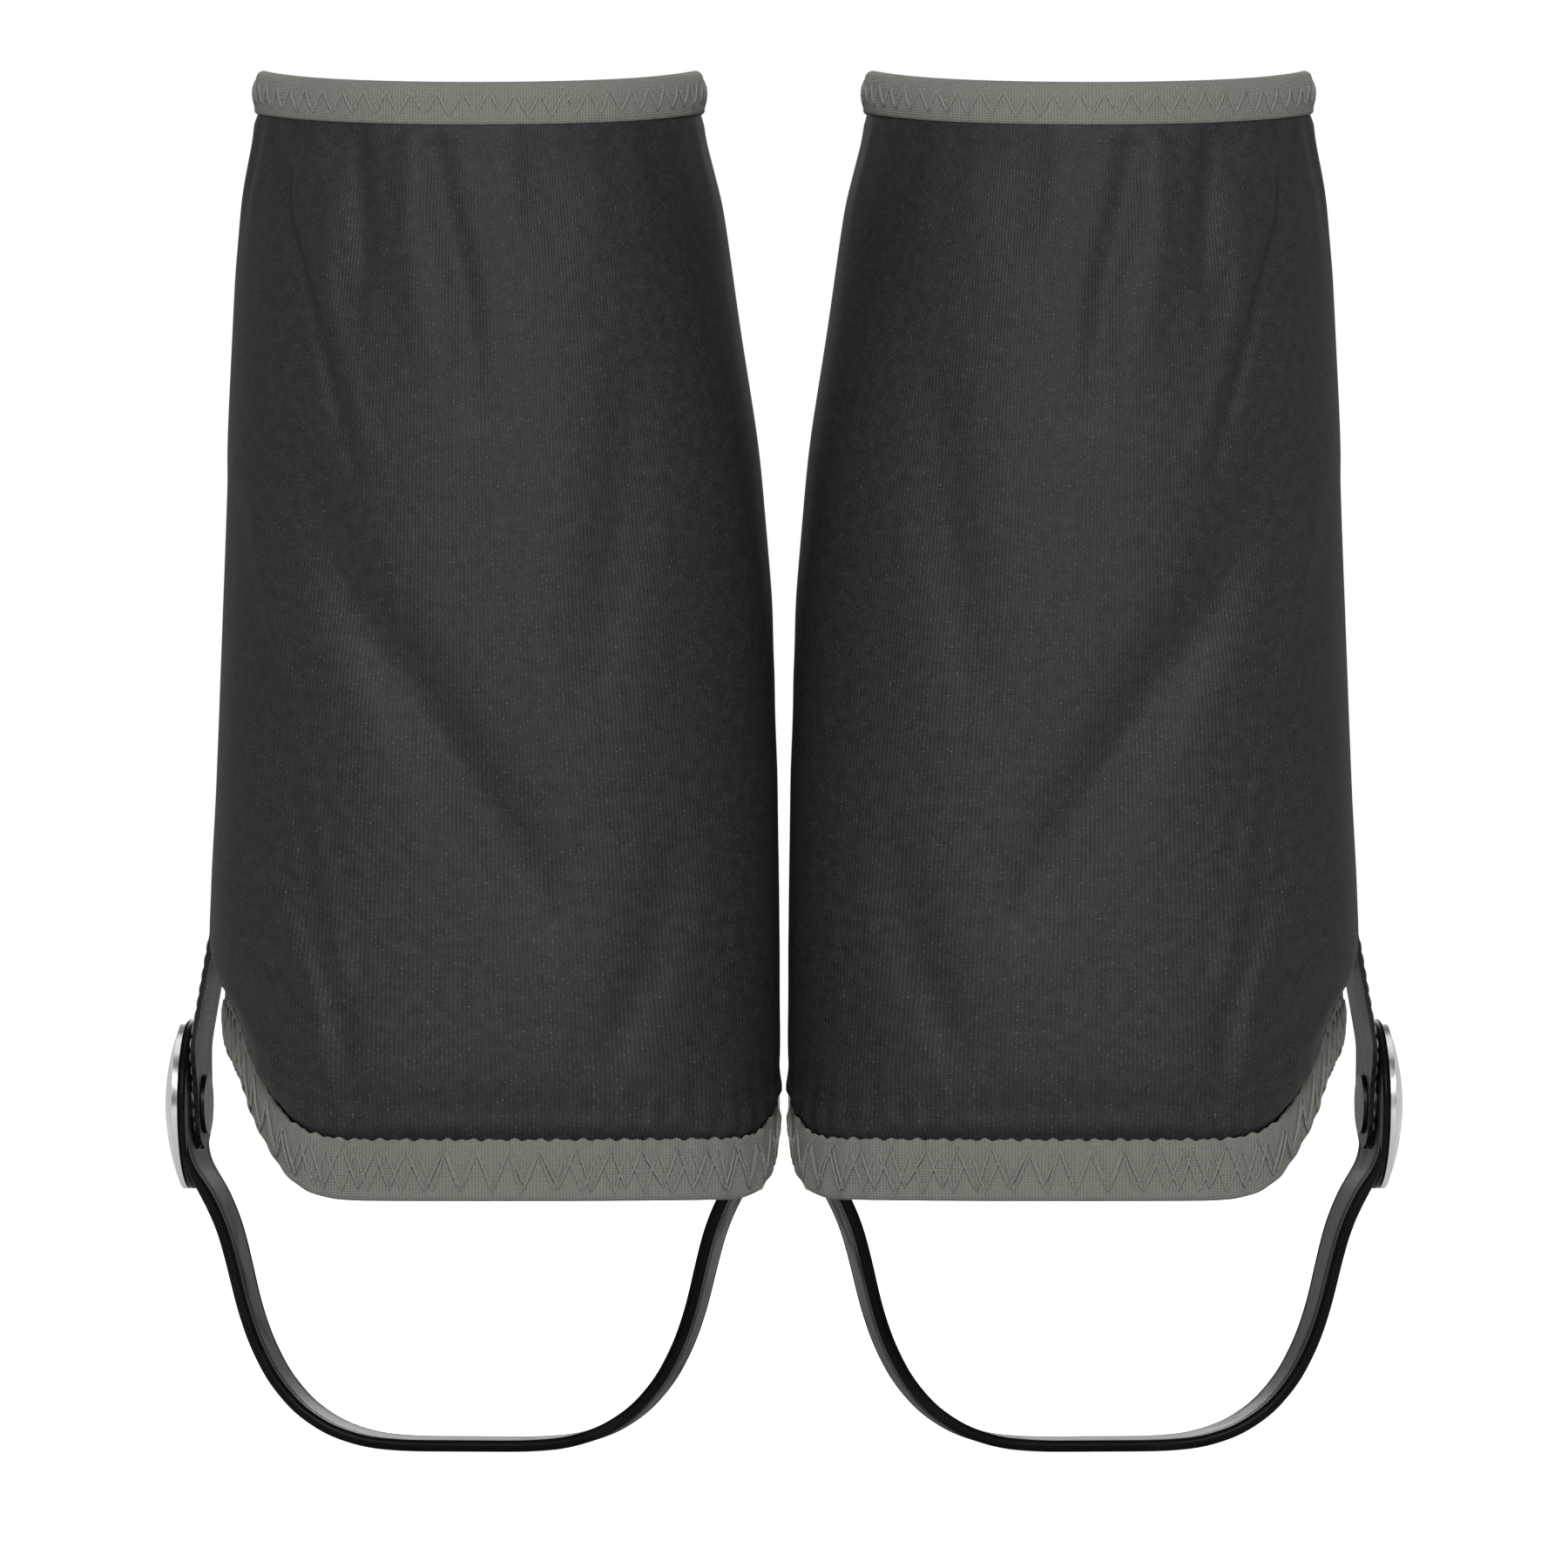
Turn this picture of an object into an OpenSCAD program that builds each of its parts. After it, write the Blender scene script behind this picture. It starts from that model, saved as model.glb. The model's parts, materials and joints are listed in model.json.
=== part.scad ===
// A pair of stretch trail gaiters for low shoes, standing in the shape they have when worn.
// +Z is up, +Y points to the toes, +X to the wearer's right. The origin is the middle of
// the pair's footprint, at the height of the two instep straps' underside.
// The right gaiter is modelled, and the left one is its mirror image.

/* [Sleeve] */
// Height of the gaiter's top edge above the underside of the strap
top_z = 273; // [260:1:290]
// Height of the hem's lower edge at the heel
heel_hem_z = 52; // [46:1:58]
// Height of the hem's lower edge along the sides and the front
side_hem_z = 80; // [74:1:84]
// Thickness of the stretch fabric
fabric_t = 0.7; // [0.5:0.1:0.9]

/* [Elastic bands] */
// Inner radius of the leg opening
opening_r = 42.5; // [40:0.5:45]
// Height of the top band
top_band_h = 8.5; // [7:0.5:12]
// Height of the hem band
hem_band_h = 12; // [10:0.5:14]
// Number of zigzags round the top band
top_zigzags = 55; // [30:1:60]
// Number of zigzags round the hem band, in each of its two passes
hem_zigzags = 56; // [30:1:60]

/* [Snaps] */
// Diameter of the domed snap caps
cap_d = 34; // [28:1:34]
// Height of the snaps' axis
snap_z = 69; // [66:1:72]
// Distance of the outer cap's base plane from the plane between the two gaiters
outer_cap_x = 118.8; // [116:0.2:120]
// Distance of the inner cap's base plane from the same plane
inner_cap_x = 5.6; // [5.4:0.2:7]
// Forward position of the outer snap
outer_snap_y = 47; // [44:1:50]
// Angle by which the line through both snaps is turned off square
snap_turn = 7; // [5:0.5:8]

/* [Instep strap] */
// Width of the strap under the sole
strap_w = 20; // [16:1:22]
// Thickness of the strap
strap_t = 2.4; // [2:0.1:2.6]

/* [Hidden] */
$fn = 64;

fabric_colour = [0.13, 0.13, 0.14];
band_colour = [0.42, 0.43, 0.38];
thread_colour = [0.50, 0.51, 0.45];
strap_colour = [0.04, 0.04, 0.045];
metal_colour = [0.80, 0.80, 0.81];

// ---- Shape of the worn sleeve: each profile is [height, distance] by hand ----
OUTER_SIDE = [[52, 110], [70, 112.6], [84, 113.4], [105, 113.4], [133, 111.9],
              [167, 110.7], [201, 109.8], [235, 108.2], [252, 106.7], [265, 104.2]];
INNER_SIDE = [[52, 0.8], [105, 0.8], [133, 1.4], [167, 3.3], [201, 6.2],
              [235, 10.1], [252, 12.6], [265, 15.8]];
HEEL_SIDE = [[52, 52], [70, 52.5], [100, 51.5], [133, 50.5], [167, 49.5],
             [201, 48], [235, 46], [265, 44.2]];
TOE_SIDE = [[80, 100], [92, 93], [105, 84], [120, 76], [140, 68],
            [167, 60.5], [201, 53], [235, 47.5], [265, 44.2]];
SQUARENESS = [[60, 2.7], [110, 2.7], [170, 2.4], [235, 2.1], [262, 2]];

band_x = 60;              // centre of the leg opening
band_leg_t = 0.45;        // thickness of each leg of a folded band
band_gap = 0.1;           // space between the folded band and the fabric
band_bottom_z = top_z - top_band_h;
top_fold_t = 1.2;         // elastic above the fabric's edge in the top band
gather = 4;               // how far the elastic hem draws the fabric in
gather_h = 13;            // height over which the fabric bulges out again
hem_leg_t = 0.7;
hem_slot = 0.6;           // half the width of the hem band's slot
hem_out = hem_slot + hem_leg_t;
hem_floor = 0.9;          // thickness of the hem band below the fabric's edge

stations = 48;            // round the sleeve
rows = 17;                // up the sleeve

function ramp(a, b, x) = let (s = min(1, max(0, (x - a) / (b - a)))) s * s * (3 - 2 * s);
function signed_pow(v, e) = sign(v) * pow(abs(v), e);

// a is the angle from the heel, turning towards the outer side; 180 is the toe side
function side_angle(a) = a <= 180 ? a : 360 - a;
function hem_z(a) =
    let (b = side_angle(a),
         rise = a <= 180 ? ramp(30, 100, b) : ramp(60, 118, b),
         front = ramp(130, 180, b))
    heel_hem_z + (side_hem_z - heel_hem_z) * rise + 4 * front;
function hem_top(a) = hem_z(a) + hem_band_h;

// the inner side is drawn in behind the inner snap, and the outer side stands to its tab
function inner_pinch(a, z) = a < 180 ? 0 :
    let (b = 360 - a) 10.5 * ramp(80, 97, b) * (1 - ramp(106, 134, b)) * (1 - ramp(106, 165, z));
function outer_pull(a, z) = a > 180 ? 0 :
    2.2 * ramp(92, 108, a) * (1 - ramp(122, 145, a)) * ramp(84, 98, z) * (1 - ramp(108, 150, z));

// the hem draws in more at the outer ankle, and less where the two gaiters meet
function gathered(a) =
    a < 180 ? 1 + 0.8 * ramp(36, 60, a) * (1 - ramp(78, 96, a)) :
    let (b = 360 - a) 1 - 0.6 * ramp(25, 50, b) * (1 - ramp(80, 94, b));

// a point of the sleeve's middle surface, moved outwards by off
function wall(a, z, off = 0) =
    let (zz = max(z, hem_top(a)),
         outer = lookup(zz, OUTER_SIDE), inner = lookup(zz, INNER_SIDE),
         cx = (outer + inner) / 2, half = (outer - inner) / 2,
         e = 2 / lookup(zz, SQUARENESS),
         drawn = gather * gathered(a) * (1 - ramp(0, gather_h, z - hem_top(a))),
         depth = cos(a) > 0 ? lookup(zz, HEEL_SIDE) : lookup(zz, TOE_SIDE),
         px = half * signed_pow(sin(a), e), py = -depth * signed_pow(cos(a), e),
         r = norm([px, py]),
         k = (r - drawn - fabric_t / 2 + off) / r)
    [cx + px * k + inner_pinch(a, zz) + outer_pull(a, zz), py * k, z];

// the part of the sleeve inside the top band is round
function collar(a, z, off) = [band_x + (collar_r + off) * sin(a), -(collar_r + off) * cos(a), z];
collar_r = opening_r + band_leg_t + band_gap + fabric_t / 2;
function sleeve_point(a, z, off) =
    let (t = ramp(band_bottom_z - 16, band_bottom_z - 1, z), p = wall(a, z, off), q = collar(a, z, off))
    p * (1 - t) + q * t;

function row_z(a, k) =
    let (z0 = hem_z(a) + hem_floor + 0.4, z1 = top_z - top_fold_t,
         start = hem_top(a) - 0.5, high = band_bottom_z - 1,
         close_step = gather_h / 4, close_rows = 5)
    k == 0 ? z0 : k == rows ? z1 :
    k <= close_rows ? start + close_step * (k - 1) :
    let (low = start + close_step * (close_rows - 1))
    low + (high - low) * (k - close_rows) / (rows - 1 - close_rows);

// ---- General mesh of a closed ring of sections, each a closed list of points ----
module ring_mesh(sections) {
    n = len(sections);
    m = len(sections[0]);
    points = [for (s = sections) for (p = s) p];
    faces = [for (i = [0:n - 1]) for (j = [0:m - 1])
        let (a = i * m + j, b = i * m + (j + 1) % m,
             c = ((i + 1) % n) * m + (j + 1) % m, d = ((i + 1) % n) * m + j)
        each [[a, c, b], [a, d, c]]];
    polyhedron(points, faces, convexity = 8);
}

// ---- General mesh of an open row of sections, with flat ends ----
module row_mesh(sections) {
    n = len(sections);
    m = len(sections[0]);
    points = [for (s = sections) for (p = s) p];
    sides = [for (i = [0:n - 2]) for (j = [0:m - 1])
        let (a = i * m + j, b = i * m + (j + 1) % m, c = (i + 1) * m + (j + 1) % m, d = (i + 1) * m + j)
        each [[a, c, b], [a, d, c]]];
    first = [for (j = [0:m - 1]) j];
    last = [for (j = [m - 1:-1:0]) (n - 1) * m + j];
    polyhedron(points, concat(sides, [first, last]), convexity = 8);
}

// the right gaiter as drawn, or its mirror image, moved back so that the pair is centred
pair_y = -22.965;
module placed(side) {
    translate([0, pair_y, 0])
    mirror([side < 0 ? 1 : 0, 0, 0])
    children();
}

// ---- Fabric ----
module sleeve() {
    color(fabric_colour)
    ring_mesh([for (i = [0:stations - 1]) let (a = i * 360 / stations) concat(
        [for (k = [0:rows]) sleeve_point(a, row_z(a, k), fabric_t / 2)],
        [for (k = [rows:-1:0]) sleeve_point(a, row_z(a, k), -fabric_t / 2)])]);
}

module front_seam() {
    half_w = 2.5;
    color(fabric_colour)
    row_mesh([for (i = [0:13])
        let (z = hem_top(180) + 2 + (band_bottom_z - 3 - hem_top(180) - 2) * i / 13,
             p = sleeve_point(180, z, fabric_t / 2 + 0.35), q = p + [0, 0.5, 0])
        [p + [-half_w, 0, 0], p + [half_w, 0, 0], q + [half_w - 0.5, 0, 0], q + [0.5 - half_w, 0, 0]]]);
}

// ---- Elastic bands ----
module top_band() {
    inside = opening_r;
    outside = opening_r + 2 * band_leg_t + 2 * band_gap + fabric_t;
    fold_z = top_z - top_fold_t + 0.2;
    color(band_colour)
    translate([band_x, 0, 0])
    rotate_extrude($fn = 96)
    polygon([
        [inside, band_bottom_z], [inside + band_leg_t, band_bottom_z],
        [inside + band_leg_t, fold_z], [outside - band_leg_t, fold_z],
        [outside - band_leg_t, band_bottom_z], [outside, band_bottom_z],
        [outside, top_z - 0.5], [outside - 0.4, top_z], [inside + 0.4, top_z], [inside, top_z - 0.5]]);
}

// a thread that runs to and fro between two heights round a band, cut upright at its turns
thread_r = 0.25;
thread_turn_h = 0.75;
function thread_section(p, a) =
    let (outward = thread_r * [sin(a), -cos(a), 0], up = [0, 0, thread_turn_h])
    [p + outward, p + up, p - outward, p - up];

module top_band_zigzag() {
    r = opening_r + 2 * band_leg_t + 2 * band_gap + fabric_t + 0.1;
    legs = 2 * top_zigzags;
    color(thread_colour)
    ring_mesh([for (i = [0:legs - 1])
        let (a = i * 360 / legs, z = band_bottom_z + (i % 2 == 0 ? 1.4 : 6.2))
        thread_section([band_x + r * sin(a), -r * cos(a), z], a)]);
}

module hem_band() {
    profile = [[-hem_out, 0], [hem_out, 0], [hem_out, hem_band_h], [hem_slot, hem_band_h],
               [hem_slot, hem_floor], [-hem_slot, hem_floor], [-hem_slot, hem_band_h - 1],
               [-hem_out, hem_band_h - 1]];
    color(band_colour)
    ring_mesh([for (i = [0:stations - 1]) let (a = i * 360 / stations)
        [for (q = profile) wall(a, hem_z(a) + q[1], q[0])]]);
}

module hem_zigzag_pass(shift, low, high, off) {
    legs = 2 * hem_zigzags;
    ring_mesh([for (i = [0:legs - 1])
        let (a = (i + shift) * 360 / legs, z = hem_z(a) + (i % 2 == 0 ? low : high))
        thread_section(wall(a, z, hem_out + off), a)]);
}

module hem_band_zigzag() {
    color(thread_colour) {
        hem_zigzag_pass(0, 1.8, 10.4, 0.1);
        hem_zigzag_pass(0.9, 2.2, 10.8, 0.75);
    }
}

// ---- Snap frame: origin on the snap's axis in the tab's outer face, +X outwards ----
flange_t = 0.35;
tab_t = 0.9;
pad_t = 1.5;
pad_gap = 0.25;           // running room between the stud's flange and the strap
cap_r = cap_d / 2;
cap_rim_t = 1.1;
cap_dome_h = 3.4;
pad_u = flange_t + pad_gap;
cap_u = pad_u + pad_t + 0.05;
stud_head_r = 4.4;
stud_top_u = 4;
socket_r = 5.8;
socket_lip_r = 7.2;
backplate_t = 0.7;
strap_span = (outer_cap_x - inner_cap_x) / cos(snap_turn);
strap_mid = [(outer_cap_x + inner_cap_x) / 2, outer_snap_y - strap_span / 2 * sin(snap_turn), snap_z];

module at_snap(inner) {
    translate(strap_mid) rotate([0, 0, snap_turn])
    mirror([inner ? 1 : 0, 0, 0])
    translate([strap_span / 2 - cap_u, 0, 0])
    children();
}

module disc(r, from_u, to_u) {
    translate([from_u, 0, 0]) rotate([0, 90, 0]) cylinder(r = r, h = to_u - from_u);
}

// ---- Tabs: flat tongues sewn to the sleeve, with the stud near their lower end ----
tab_front = 8;
tab_rear = 14;
tab_end_r = 9;
tab_bend_w = 12;          // height of the bend above the snap's axis
tab_top_w = 36;
tab_rivet_r = 2.05;

module tab(lean) {
    color(strap_colour)
    difference() {
        union() {
            disc(tab_end_r, -tab_t, 0);
            translate([-tab_t, 0, 0]) rotate([90, 0, 90]) linear_extrude(tab_t)
            polygon([[-tab_end_r, 0], [tab_end_r, 0], [tab_front, tab_bend_w], [-tab_rear, tab_bend_w]]);
            translate([0, 0, tab_bend_w]) rotate([0, -lean, 0])
            translate([-tab_t, -tab_rear, -0.02])
            cube([tab_t, tab_rear + tab_front, (tab_top_w - tab_bend_w) / cos(lean)]);
        }
        disc(tab_rivet_r, -2, 2);
    }
}

outer_lean = 10;
inner_lean = 0;

// two rows of short stitches along the tab's long edges, and one across its top
module tab_stitching(lean) {
    stitch = [0.3, 0.35, 1.6];
    color(thread_colour)
    translate([0, 0, tab_bend_w]) rotate([0, -lean, 0]) {
        for (y = [-tab_rear + 1.5, tab_front - 1.5]) for (i = [0:7])
            translate([0.03, y - stitch[1] / 2, 1.2 + i * 2.7]) cube(stitch);
        for (i = [0:6])
            translate([0.03, -tab_rear + 2.6 + i * 2.6, 21.8]) cube([stitch[0], stitch[2], stitch[1]]);
    }
}

// ---- Snaps ----
module stud() {
    color(metal_colour)
    rotate([0, 90, 0]) rotate_extrude()
    polygon([[0, -tab_t - backplate_t], [2, -tab_t - backplate_t], [2, 0.02], [6, 0.02], [6, flange_t],
             [3.2, flange_t], [3.2, 1.3], [stud_head_r, 1.9], [stud_head_r, 3.4],
             [stud_head_r - 0.7, stud_top_u], [0, stud_top_u]]);
}

module stud_backplate() {
    color(metal_colour)
    difference() {
        disc(6, -tab_t - backplate_t, -tab_t - 0.02);
        disc(tab_rivet_r, -5, 1);
    }
}

module socket() {
    color(metal_colour)
    rotate([0, 90, 0]) rotate_extrude()
    polygon([[stud_head_r + 0.06, pad_u], [socket_lip_r, pad_u], [socket_lip_r, pad_u + 0.4],
             [socket_r, pad_u + 0.4], [socket_r, stud_top_u + 0.2], [stud_head_r + 0.06, stud_top_u + 0.2]]);
}

module cap() {
    sphere_r = (cap_r * cap_r + cap_dome_h * cap_dome_h) / (2 * cap_dome_h);
    rim_u = cap_u + cap_rim_t;
    edge_angle = asin(cap_r / sphere_r);
    hollow_r = socket_r + 0.03;
    hollow_u = stud_top_u + 0.4;
    arc_steps = 12;
    color(metal_colour)
    rotate([0, 90, 0]) rotate_extrude($fn = 96)
    polygon(concat(
        [[0, hollow_u], [hollow_r, hollow_u], [hollow_r, cap_u], [cap_r, cap_u], [cap_r, rim_u]],
        [for (i = [1:arc_steps - 1]) let (a = edge_angle * (1 - i / arc_steps))
            [sphere_r * sin(a), rim_u + cap_dome_h - sphere_r * (1 - cos(a))]],
        [[0, rim_u + cap_dome_h]]));
}

// ---- Instep strap: flat round ends joined by a moulded band that passes under the sole ----
// each point is [distance from the middle, height, half width]
strap_end_s = strap_span / 2 - cap_u + pad_u + pad_t / 2;
STRAP_HALF = [
    [strap_end_s, snap_z - 8.5, 13.6], [strap_end_s - 0.1, snap_z - 10.5, 13.4],
    [strap_end_s - 1.2, snap_z - 13, 13.1], [strap_end_s - 3.2, snap_z - 16, 12.6],
    [strap_end_s - 5, snap_z - 19.5, 12], [49.2, 45, strap_w / 2 + 1.3], [47.8, 40, strap_w / 2 + 0.7],
    [46.6, 35, strap_w / 2 + 0.3], [45.2, 29, strap_w / 2], [42.9, 22, strap_w / 2],
    [39.2, 14.6, strap_w / 2], [34, 8.4, strap_w / 2], [27.5, 4.1, strap_w / 2],
    [20, 1.8, strap_w / 2], [12, strap_t / 2, strap_w / 2]];
strap_path = concat(STRAP_HALF, [[0, strap_t / 2, strap_w / 2]],
    [for (i = [len(STRAP_HALF) - 1:-1:0]) [-STRAP_HALF[i][0], STRAP_HALF[i][1], STRAP_HALF[i][2]]]);

function unit(v) = v / norm(v);
function strap_section(i) =
    let (n = len(strap_path) - 1, p = strap_path[i],
         a = strap_path[max(0, i - 1)], b = strap_path[min(n, i + 1)],
         d = unit([b[0] - a[0], b[1] - a[1]]), out = [-d[1], d[0]],
         steps_in = min(i, n - i),
         half = steps_in == 0 ? pad_t / 2 - 0.1 : min(strap_t, pad_t + 0.3 * steps_in) / 2,
         w = p[2], c = 0.5)
    [for (q = [[w, half - c], [w - c, half], [c - w, half], [-w, half - c],
               [-w, c - half], [c - w, -half], [w - c, -half], [w, c - half]])
        [p[0] + out[0] * q[1], q[0], p[1] + out[1] * q[1]]];

module instep_strap() {
    color(strap_colour)
    difference() {
        union() {
            translate([strap_mid[0], strap_mid[1], 0]) rotate([0, 0, snap_turn])
            row_mesh([for (i = [0:len(strap_path) - 1]) strap_section(i)]);
            for (inner = [false, true]) at_snap(inner) disc(cap_r, pad_u, pad_u + pad_t);
        }
        for (inner = [false, true]) at_snap(inner) {
            disc(socket_r + 0.1, -1, 6);
            disc(socket_lip_r + 0.1, -1, pad_u + 0.45);
        }
    }
}

// ---- Lace hook at the toe side: a wire hook that hangs in a webbing loop ----
hook_pin_r = 1.0;
hook_pin = [(lookup(92, OUTER_SIDE) + lookup(92, INNER_SIDE)) / 2, wall(180, 90, 0)[1] + hem_out + 2.5,
            hem_z(180) - 4];
hook_half_w = 6;
hook_frame_h = 8;
hook_corner_r = 2;
hook_bend_r = 3.7;
loop_w = 8;
webbing_t = 0.9;

module hook_loop() {
    tunnel_r = hook_pin_r + 0.08;
    outer_r = tunnel_r + webbing_t;
    back_y = -(1.5 - 0.1);
    color(strap_colour)
    translate(hook_pin) rotate([90, 0, 90]) translate([0, 0, -loop_w / 2])
    difference() {
        union() {
            cylinder(r = outer_r, h = loop_w);
            translate([back_y, 0, 0]) cube([1.2, hem_band_h + 2.5, loop_w]);
        }
        translate([0, 0, -1]) cylinder(r = tunnel_r, h = loop_w + 2);
    }
}

module hook_loop_bartack() {
    color(thread_colour)
    translate(hook_pin + [0, -0.17, 0])
    for (z = [8, 9.4, 12, 13.4]) translate([-loop_w / 2 + 0.8, 0, z]) cube([loop_w - 1.6, 0.35, 0.6]);
}

module hook_corner(turn) {
    rotate([0, turn, 0]) rotate([90, 0, 0]) rotate_extrude(angle = 90)
    translate([hook_corner_r, 0]) circle(r = hook_pin_r, $fn = 32);
}

// the wire frame lies in the XZ plane below the pin, and the hook curls towards the toes
module lace_hook() {
    inner_w = hook_half_w - hook_corner_r;
    bar = 2 * inner_w;
    color(metal_colour)
    translate(hook_pin) {
        for (z = [0, -hook_frame_h])
            translate([-inner_w, 0, z]) rotate([0, 90, 0]) cylinder(r = hook_pin_r, h = bar, $fn = 32);
        for (x = [-hook_half_w, hook_half_w])
            translate([x, 0, -hook_frame_h + hook_corner_r])
            cylinder(r = hook_pin_r, h = hook_frame_h - 2 * hook_corner_r, $fn = 32);
        translate([inner_w, 0, -hook_corner_r]) hook_corner(0);
        translate([inner_w, 0, hook_corner_r - hook_frame_h]) hook_corner(90);
        translate([-inner_w, 0, hook_corner_r - hook_frame_h]) hook_corner(180);
        translate([-inner_w, 0, -hook_corner_r]) hook_corner(270);
        translate([0, 0, -hook_frame_h - 5]) cylinder(r = hook_pin_r + 0.1, h = 5, $fn = 32);
        translate([0, hook_bend_r, -hook_frame_h - 5]) rotate([0, 90, 0]) rotate([0, 0, -90])
        rotate_extrude(angle = 180) translate([hook_bend_r, 0]) circle(r = hook_pin_r + 0.1, $fn = 32);
    }
}

placed(-1) sleeve();  // left_sleeve
placed(1) sleeve();  // right_sleeve
placed(-1) top_band();  // left_top_band
placed(1) top_band();  // right_top_band
placed(-1) top_band_zigzag();  // left_top_band_zigzag
placed(1) top_band_zigzag();  // right_top_band_zigzag
placed(-1) hem_band();  // left_hem_band
placed(1) hem_band();  // right_hem_band
placed(-1) hem_band_zigzag();  // left_hem_band_zigzag
placed(1) hem_band_zigzag();  // right_hem_band_zigzag
placed(-1) front_seam();  // left_front_seam
placed(1) front_seam();  // right_front_seam
placed(-1) at_snap(false) tab(outer_lean);  // left_outer_tab
placed(1) at_snap(false) tab(outer_lean);  // right_outer_tab
placed(-1) at_snap(true) tab(inner_lean);  // left_inner_tab
placed(1) at_snap(true) tab(inner_lean);  // right_inner_tab
placed(-1) at_snap(false) tab_stitching(outer_lean);  // left_outer_tab_stitching
placed(1) at_snap(false) tab_stitching(outer_lean);  // right_outer_tab_stitching
placed(-1) at_snap(true) tab_stitching(inner_lean);  // left_inner_tab_stitching
placed(1) at_snap(true) tab_stitching(inner_lean);  // right_inner_tab_stitching
placed(-1) at_snap(false) stud();  // left_outer_stud
placed(1) at_snap(false) stud();  // right_outer_stud
placed(-1) at_snap(true) stud();  // left_inner_stud
placed(1) at_snap(true) stud();  // right_inner_stud
placed(-1) at_snap(false) stud_backplate();  // left_outer_stud_backplate
placed(1) at_snap(false) stud_backplate();  // right_outer_stud_backplate
placed(-1) at_snap(true) stud_backplate();  // left_inner_stud_backplate
placed(1) at_snap(true) stud_backplate();  // right_inner_stud_backplate
placed(-1) instep_strap();  // left_instep_strap
placed(1) instep_strap();  // right_instep_strap
placed(-1) at_snap(false) cap();  // left_outer_cap
placed(1) at_snap(false) cap();  // right_outer_cap
placed(-1) at_snap(true) cap();  // left_inner_cap
placed(1) at_snap(true) cap();  // right_inner_cap
placed(-1) at_snap(false) socket();  // left_outer_socket
placed(1) at_snap(false) socket();  // right_outer_socket
placed(-1) at_snap(true) socket();  // left_inner_socket
placed(1) at_snap(true) socket();  // right_inner_socket
placed(-1) hook_loop();  // left_hook_loop
placed(1) hook_loop();  // right_hook_loop
placed(-1) hook_loop_bartack();  // left_hook_loop_bartack
placed(1) hook_loop_bartack();  // right_hook_loop_bartack
placed(-1) lace_hook();  // left_lace_hook
placed(1) lace_hook();  // right_lace_hook
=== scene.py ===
import json
import math

import bpy
import numpy as np
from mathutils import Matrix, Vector
from mathutils.bvhtree import BVHTree


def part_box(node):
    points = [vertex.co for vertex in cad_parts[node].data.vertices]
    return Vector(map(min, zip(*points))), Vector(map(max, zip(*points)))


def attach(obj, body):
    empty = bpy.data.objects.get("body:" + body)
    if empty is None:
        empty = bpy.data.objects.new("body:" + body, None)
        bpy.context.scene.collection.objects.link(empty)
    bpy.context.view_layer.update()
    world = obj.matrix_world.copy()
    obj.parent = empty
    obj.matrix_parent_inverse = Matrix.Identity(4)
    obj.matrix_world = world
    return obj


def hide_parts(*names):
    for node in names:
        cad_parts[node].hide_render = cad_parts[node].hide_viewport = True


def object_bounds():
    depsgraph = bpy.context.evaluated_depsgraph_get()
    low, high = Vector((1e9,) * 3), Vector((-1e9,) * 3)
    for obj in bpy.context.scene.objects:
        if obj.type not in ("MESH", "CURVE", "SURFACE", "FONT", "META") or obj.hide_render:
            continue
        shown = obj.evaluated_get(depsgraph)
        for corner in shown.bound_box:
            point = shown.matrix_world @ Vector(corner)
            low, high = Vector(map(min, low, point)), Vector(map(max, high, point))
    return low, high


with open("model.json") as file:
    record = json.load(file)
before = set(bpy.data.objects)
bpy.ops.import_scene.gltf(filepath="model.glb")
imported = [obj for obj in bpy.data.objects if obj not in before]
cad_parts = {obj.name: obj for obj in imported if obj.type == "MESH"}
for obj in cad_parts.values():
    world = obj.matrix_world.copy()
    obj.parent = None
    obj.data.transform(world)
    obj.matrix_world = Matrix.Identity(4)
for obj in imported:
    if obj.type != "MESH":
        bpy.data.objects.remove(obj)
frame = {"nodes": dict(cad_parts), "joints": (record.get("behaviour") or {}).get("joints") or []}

MM = 0.001
SIDES = {"right": 1, "left": -1}
nodes = frame["nodes"]
cad_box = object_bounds()
rng = np.random.default_rng(7)

# ---- Sizes ----
STATIONS = 360               # points round a sleeve
ROWS = 160                   # points up a sleeve
FABRIC_T = 0.7 * MM
HEM_H = 12 * MM              # height of the hem band
HEM_HALF = 1.3 * MM          # half the thickness of the folded hem band
TOP_DIP = 3.4 * MM           # how far the top band sags at the back
TOP_RISE = 0.7 * MM          # how far it stands up at the sides
RIB_PITCH = 0.72 * MM        # knit ribs at mid height
THREAD_R = 0.25 * MM         # of the zigzags on the elastics
STITCH_R = 0.17 * MM         # of the stitches on the tabs
SEAM_THREAD_R = 0.2 * MM
TOP_ZIGZAGS = 55
HEM_ZIGZAGS = 72
LEAST_X = 0.22 * MM          # how near a gaiter's surface comes to the plane between the two
SPINE_X = 59 * MM            # the gaiter's middle line, seen from behind
GIRTH = 52                   # millimetres of fabric in a turn of one radian, roughly
FRONT_R = 46 * MM            # the toe side's radius, roughly

hem_low, hem_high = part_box("right_hem_band")
top_low, top_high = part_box("right_top_band")
hem_centre = (hem_low + hem_high) / 2
top_centre = (top_low + top_high) / 2
top_radius = (top_high.x - top_low.x) / 2


def ramp(low, high, value):
    """0 below low, 1 above high, and smooth between."""
    part = np.clip((value - low) / (high - low), 0, 1)
    return part * part * (3 - 2 * part)


def bell(distance, width):
    return np.exp(-(distance / width) ** 2)


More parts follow.
